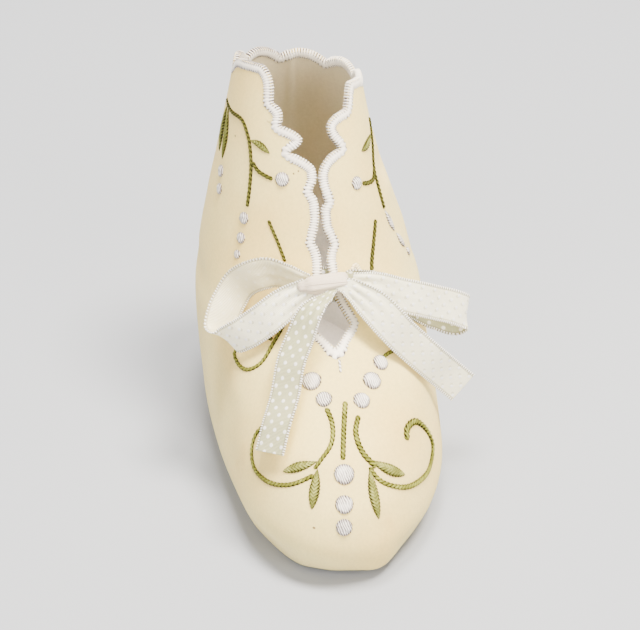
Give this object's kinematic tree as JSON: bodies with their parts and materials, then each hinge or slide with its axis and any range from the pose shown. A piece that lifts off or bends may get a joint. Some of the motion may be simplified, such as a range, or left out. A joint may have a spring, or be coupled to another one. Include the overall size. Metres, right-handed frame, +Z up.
{
  "type": "infant bootie",
  "caption": "Soft infant bootie: hollow cloth upper open at throat and collar with scalloped edging, cloth sole, insole and a ribbon tied in a bow.",
  "frame": {"origin": "on the floor, below the middle of the upper and sole", "axes": "the toe points along -Y, the heel along +Y, +Z is up"},
  "size_m": [0.0591, 0.1046, 0.0892],
  "materials": {
    "wool_cloth": "matt fine wool cloth",
    "sole_cloth": "matt wool cloth",
    "lining_cloth": "soft lining cloth",
    "ribbon": "silky ribbon with pin dots"
  },
  "bodies": {
    "root": {"sole": "sole_cloth", "insole": "lining_cloth", "upper": "wool_cloth", "ribbon_crossing": "ribbon", "bow_knot": "ribbon", "bow_loop_left": "ribbon", "bow_loop_right": "ribbon", "bow_tail_left": "ribbon", "bow_tail_right": "ribbon"}
  },
  "joints": []
}
